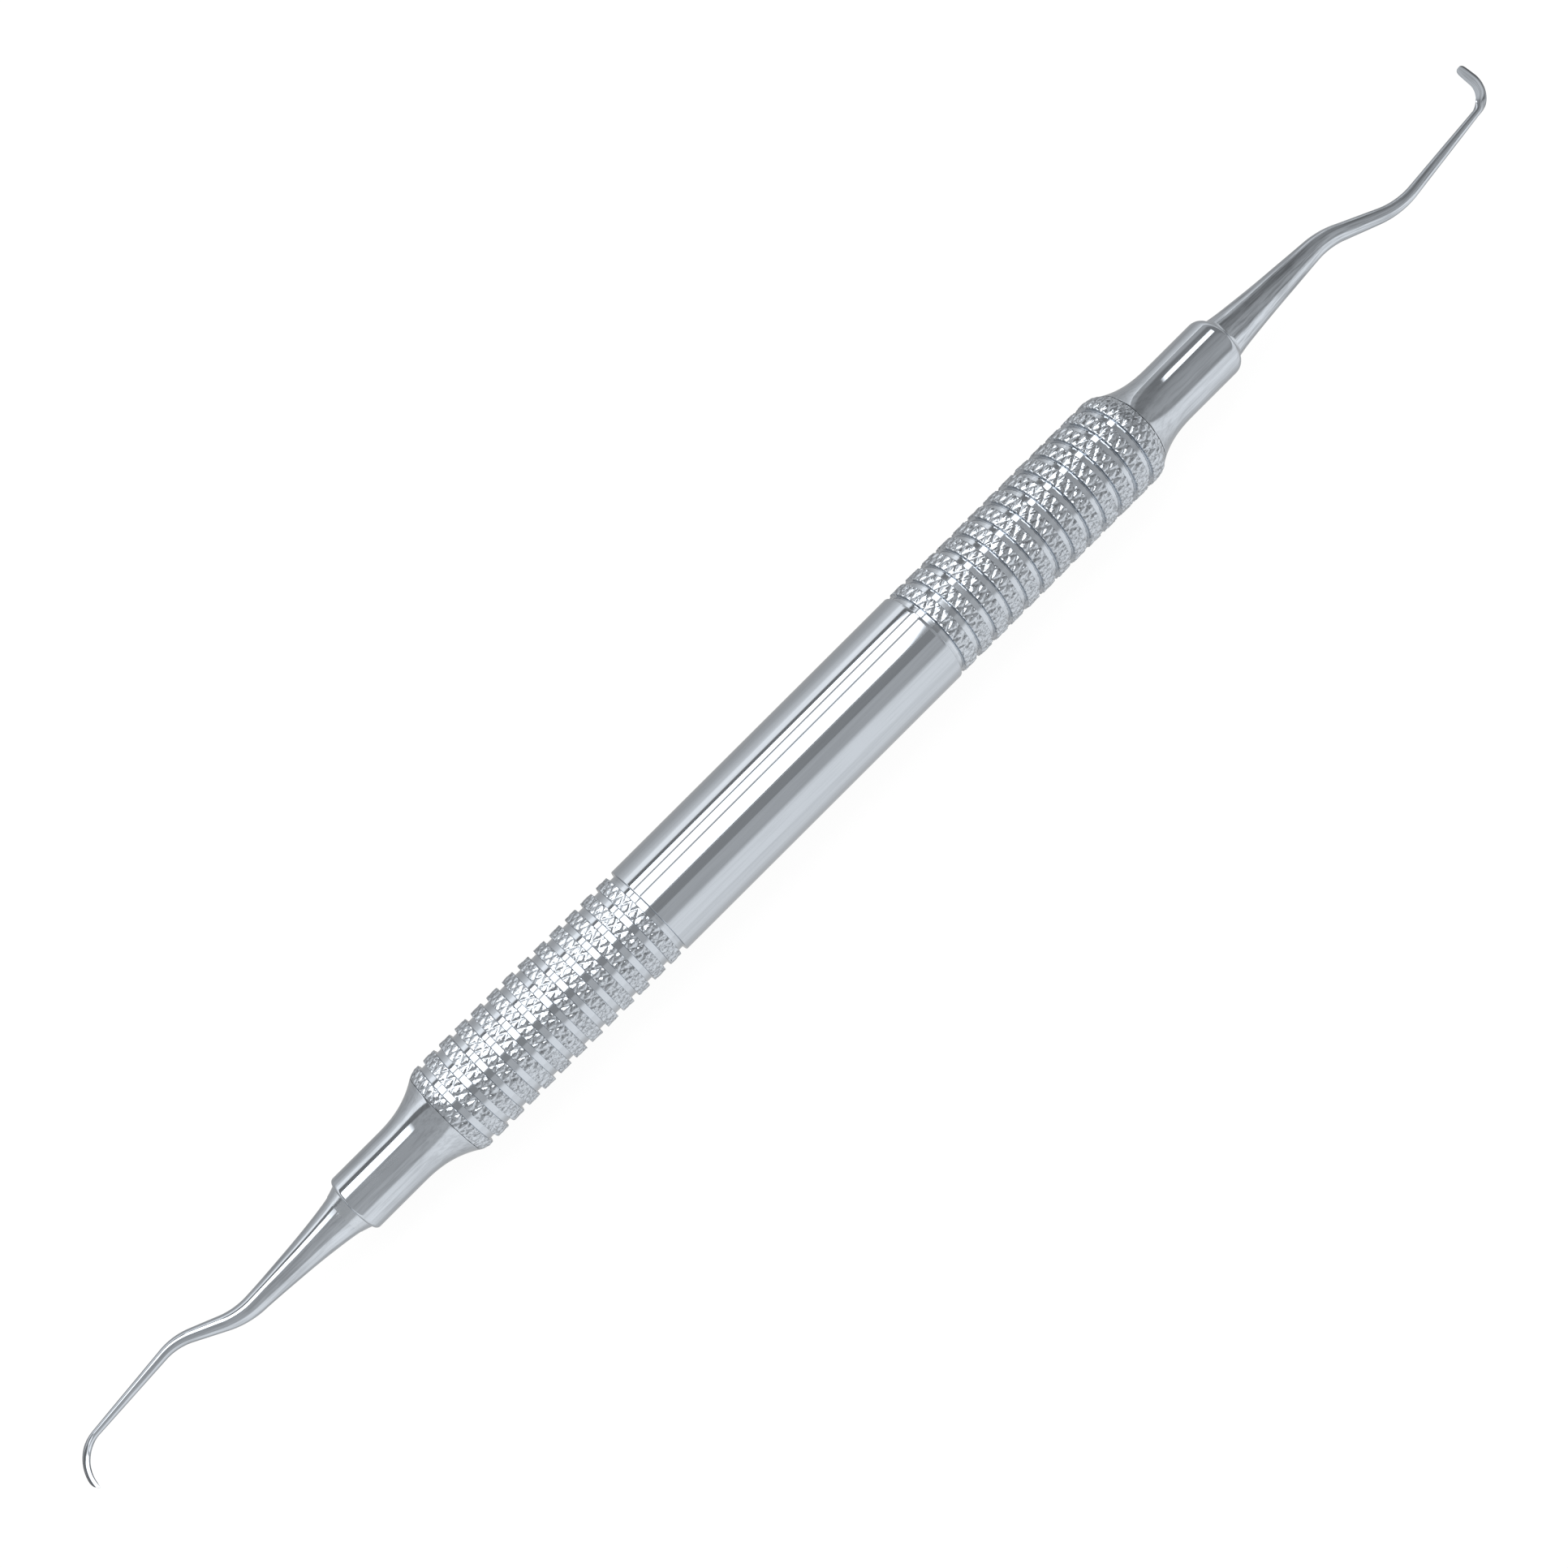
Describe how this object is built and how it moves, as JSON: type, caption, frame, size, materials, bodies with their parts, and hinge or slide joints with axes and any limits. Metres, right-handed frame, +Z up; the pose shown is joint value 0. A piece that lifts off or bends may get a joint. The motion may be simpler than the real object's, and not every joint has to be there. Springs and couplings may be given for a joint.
{
  "type": "double-ended hand scaler",
  "caption": "Double-ended dental hand scaler: hollow round steel handle with ring-grooved knurled grips, a smooth middle, an end cone at each end, and two bent shanks with small hooked blades.",
  "frame": {"origin": "middle of the smooth barrel, on the handle's axis", "axes": "+X along the handle's axis towards the tip with the tighter hook; both tips bend in the XY plane; +Z up when the instrument lies with that plane level"},
  "size_m": [0.1749, 0.0094, 0.0094],
  "materials": {
    "handle_steel": "polished stainless steel with diamond-knurled bands",
    "cone_steel": "polished stainless steel with faint turning lines",
    "tip_steel": "hand-ground and polished stainless steel with faint long facets",
    "solder": "bright smoothed solder bead"
  },
  "bodies": {
    "root": {"handle_tube": "handle_steel", "upper_end_cone": "cone_steel", "lower_end_cone": "cone_steel", "upper_tip": "tip_steel", "lower_tip": "tip_steel", "upper_solder_ring": "solder", "lower_solder_ring": "solder"}
  },
  "joints": []
}
